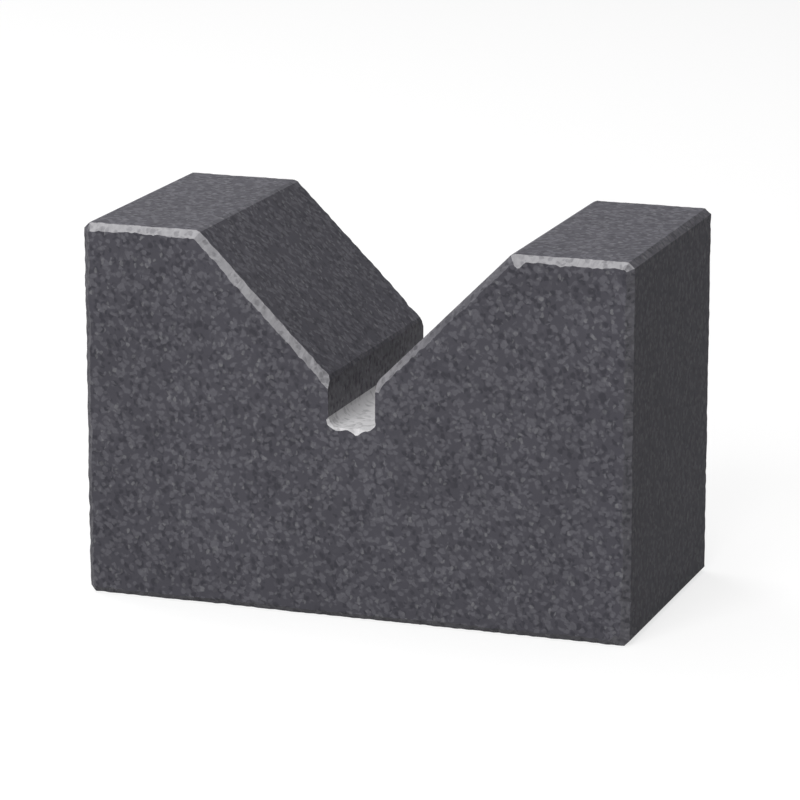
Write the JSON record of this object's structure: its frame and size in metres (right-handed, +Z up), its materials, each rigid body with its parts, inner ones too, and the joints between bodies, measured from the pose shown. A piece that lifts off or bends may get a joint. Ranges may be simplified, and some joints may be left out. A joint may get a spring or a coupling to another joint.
{
  "type": "v block",
  "caption": "Dark granite block with a right-angled V groove and a relief slot at its root, for cradling round bars while they are checked or marked.",
  "frame": {"origin": "centre of the base face, on the surface the block stands on", "axes": "+Z up from the base to the top lands, +Y along the groove, +X across it"},
  "size_m": [0.1, 0.05, 0.067],
  "materials": {
    "granite": "lapped fine-grained black granite with a satin surface, pale ground chamfers round both ends and a pale sawn slot floor"
  },
  "bodies": {
    "root": {"v_block": "granite"}
  },
  "joints": []
}
